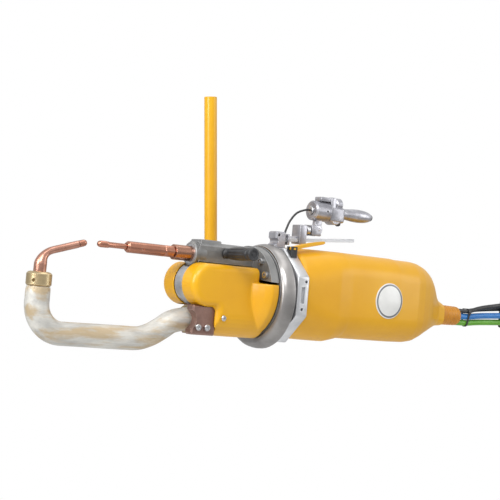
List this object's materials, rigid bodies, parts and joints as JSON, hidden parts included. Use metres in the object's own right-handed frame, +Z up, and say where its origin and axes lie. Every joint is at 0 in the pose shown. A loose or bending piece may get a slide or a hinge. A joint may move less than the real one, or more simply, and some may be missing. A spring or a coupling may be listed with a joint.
{
  "type": "suspended spot welder",
  "caption": "Suspended spot welding gun: transformer under a yellow cover behind a swivel ring with a side hanger, sliding copper electrode over a curved arm, trigger handle on a rail.",
  "frame": {"origin": "middle of the hanger rod's flat top, where the gun hangs from its balancer", "axes": "+X along the welding axis from the electrodes to the supply leads, +Z up from the lower arm to the electrode line, +Y towards the hanger; the rod's own line leans 6.2 degrees towards -X from +Z"},
  "size_m": [1.386, 0.3514, 0.593],
  "materials": {
    "yellow_metal": "gloss paint",
    "yellow_shell": "satin moulded cover",
    "cast_grey": "rough casting",
    "bright_alloy": "polished and machined",
    "steel": "turned",
    "copper": "turned copper alloy",
    "bronze": "dark bronze casting",
    "brass": "machined",
    "arm_alloy": "aged sand casting",
    "black_plastic": "moulded",
    "cable_black": "satin sheath",
    "cable_blue": "satin sheath",
    "cable_green": "satin sheath",
    "boot_yellow": "moulded boot",
    "badge_white": "plain disc"
  },
  "bodies": {
    "hanger": {"hanger_rod": "yellow_metal", "hanger_hub": "yellow_metal", "hanger_plug": "steel", "pivot_bolt": "steel"},
    "ring": {"swivel_ring": "cast_grey", "ring_bearing": "bronze"},
    "gun": {"front_cover_near": "yellow_shell", "front_cover_far": "yellow_shell", "rear_cover": "yellow_shell", "rod_guide": "cast_grey", "cylinder_lid": "cast_grey", "gun_flange": "bright_alloy", "bearing_keeper": "bright_alloy", "front_frame": "bright_alloy", "rail_bracket": "bright_alloy", "handle_rail": "bright_alloy", "cylinder_tube": "bright_alloy", "rod_wiper": "bright_alloy", "guide_screw_1": "steel", "guide_screw_2": "steel", "cover_screw": "steel", "clamp_screw_1": "steel", "clamp_screw_2": "steel", "lower_electrode": "copper", "lower_cap": "copper", "arm_clamp": "bronze", "transformer": "bronze", "arm_collar": "brass", "arm_nut": "brass", "lower_arm": "arm_alloy", "side_handle_stud": "black_plastic", "side_grip": "black_plastic", "side_grip_cap": "black_plastic", "lead_tie": "black_plastic", "lead_clip": "black_plastic", "brake_pivot": "black_plastic", "lead_black_a": "cable_black", "lead_black_b": "cable_black", "lead_blue": "cable_blue", "lead_green": "cable_green", "lead_boot": "boot_yellow", "rear_badge": "badge_white"},
    "rod": {"piston_rod": "steel", "rod_sleeve": "copper", "union_nut": "copper", "electrode_holder": "copper", "electrode_shank": "copper", "upper_cap": "copper"},
    "lever": {"brake_lever": "yellow_metal"},
    "carriage": {"rail_carriage": "bright_alloy", "carriage_knob": "steel", "control_cable": "cable_black"},
    "handle": {"handle_link": "bright_alloy", "cable_plug": "steel", "handle_head": "bright_alloy", "handle_grip": "bright_alloy", "grip_cap": "black_plastic"},
    "trigger": {"trigger": "black_plastic"}
  },
  "joints": [
    {"name": "ring_tilt", "type": "hinge", "parent": "hanger", "child": "ring", "pos_m": [0.04838, 0, -0.44538], "axis": [0, 1, 0], "range_deg": [-30, 30]},
    {"name": "gun_roll", "type": "hinge", "parent": "ring", "child": "gun", "pos_m": [0.04838, -0.192, -0.44538], "axis": [1, 0, 0], "range_deg": [-180, 180]},
    {"name": "electrode_stroke", "type": "slide", "parent": "gun", "child": "rod", "axis": [-1, 0, 0], "range_m": [0, 0.025]},
    {"name": "brake_lift", "type": "hinge", "parent": "gun", "child": "lever", "pos_m": [0.08438, -0.252, -0.34438], "axis": [0, -1, 0], "range_deg": [0, 40]},
    {"name": "carriage_slide", "type": "slide", "parent": "gun", "child": "carriage", "axis": [0.9963, 0, 0.0857], "range_m": [0, 0.09]},
    {"name": "handle_tilt", "type": "hinge", "parent": "carriage", "child": "handle", "pos_m": [0.19538, -0.192, -0.29088], "axis": [0, -1, 0], "range_deg": [-8, 20], "deforming": ["control_cable"]},
    {"name": "trigger_press", "type": "slide", "parent": "handle", "child": "trigger", "axis": [0, 0, 1], "range_m": [0, 0.005], "stiffness_N_per_m": 500, "springref_m": -0.001}
  ]
}
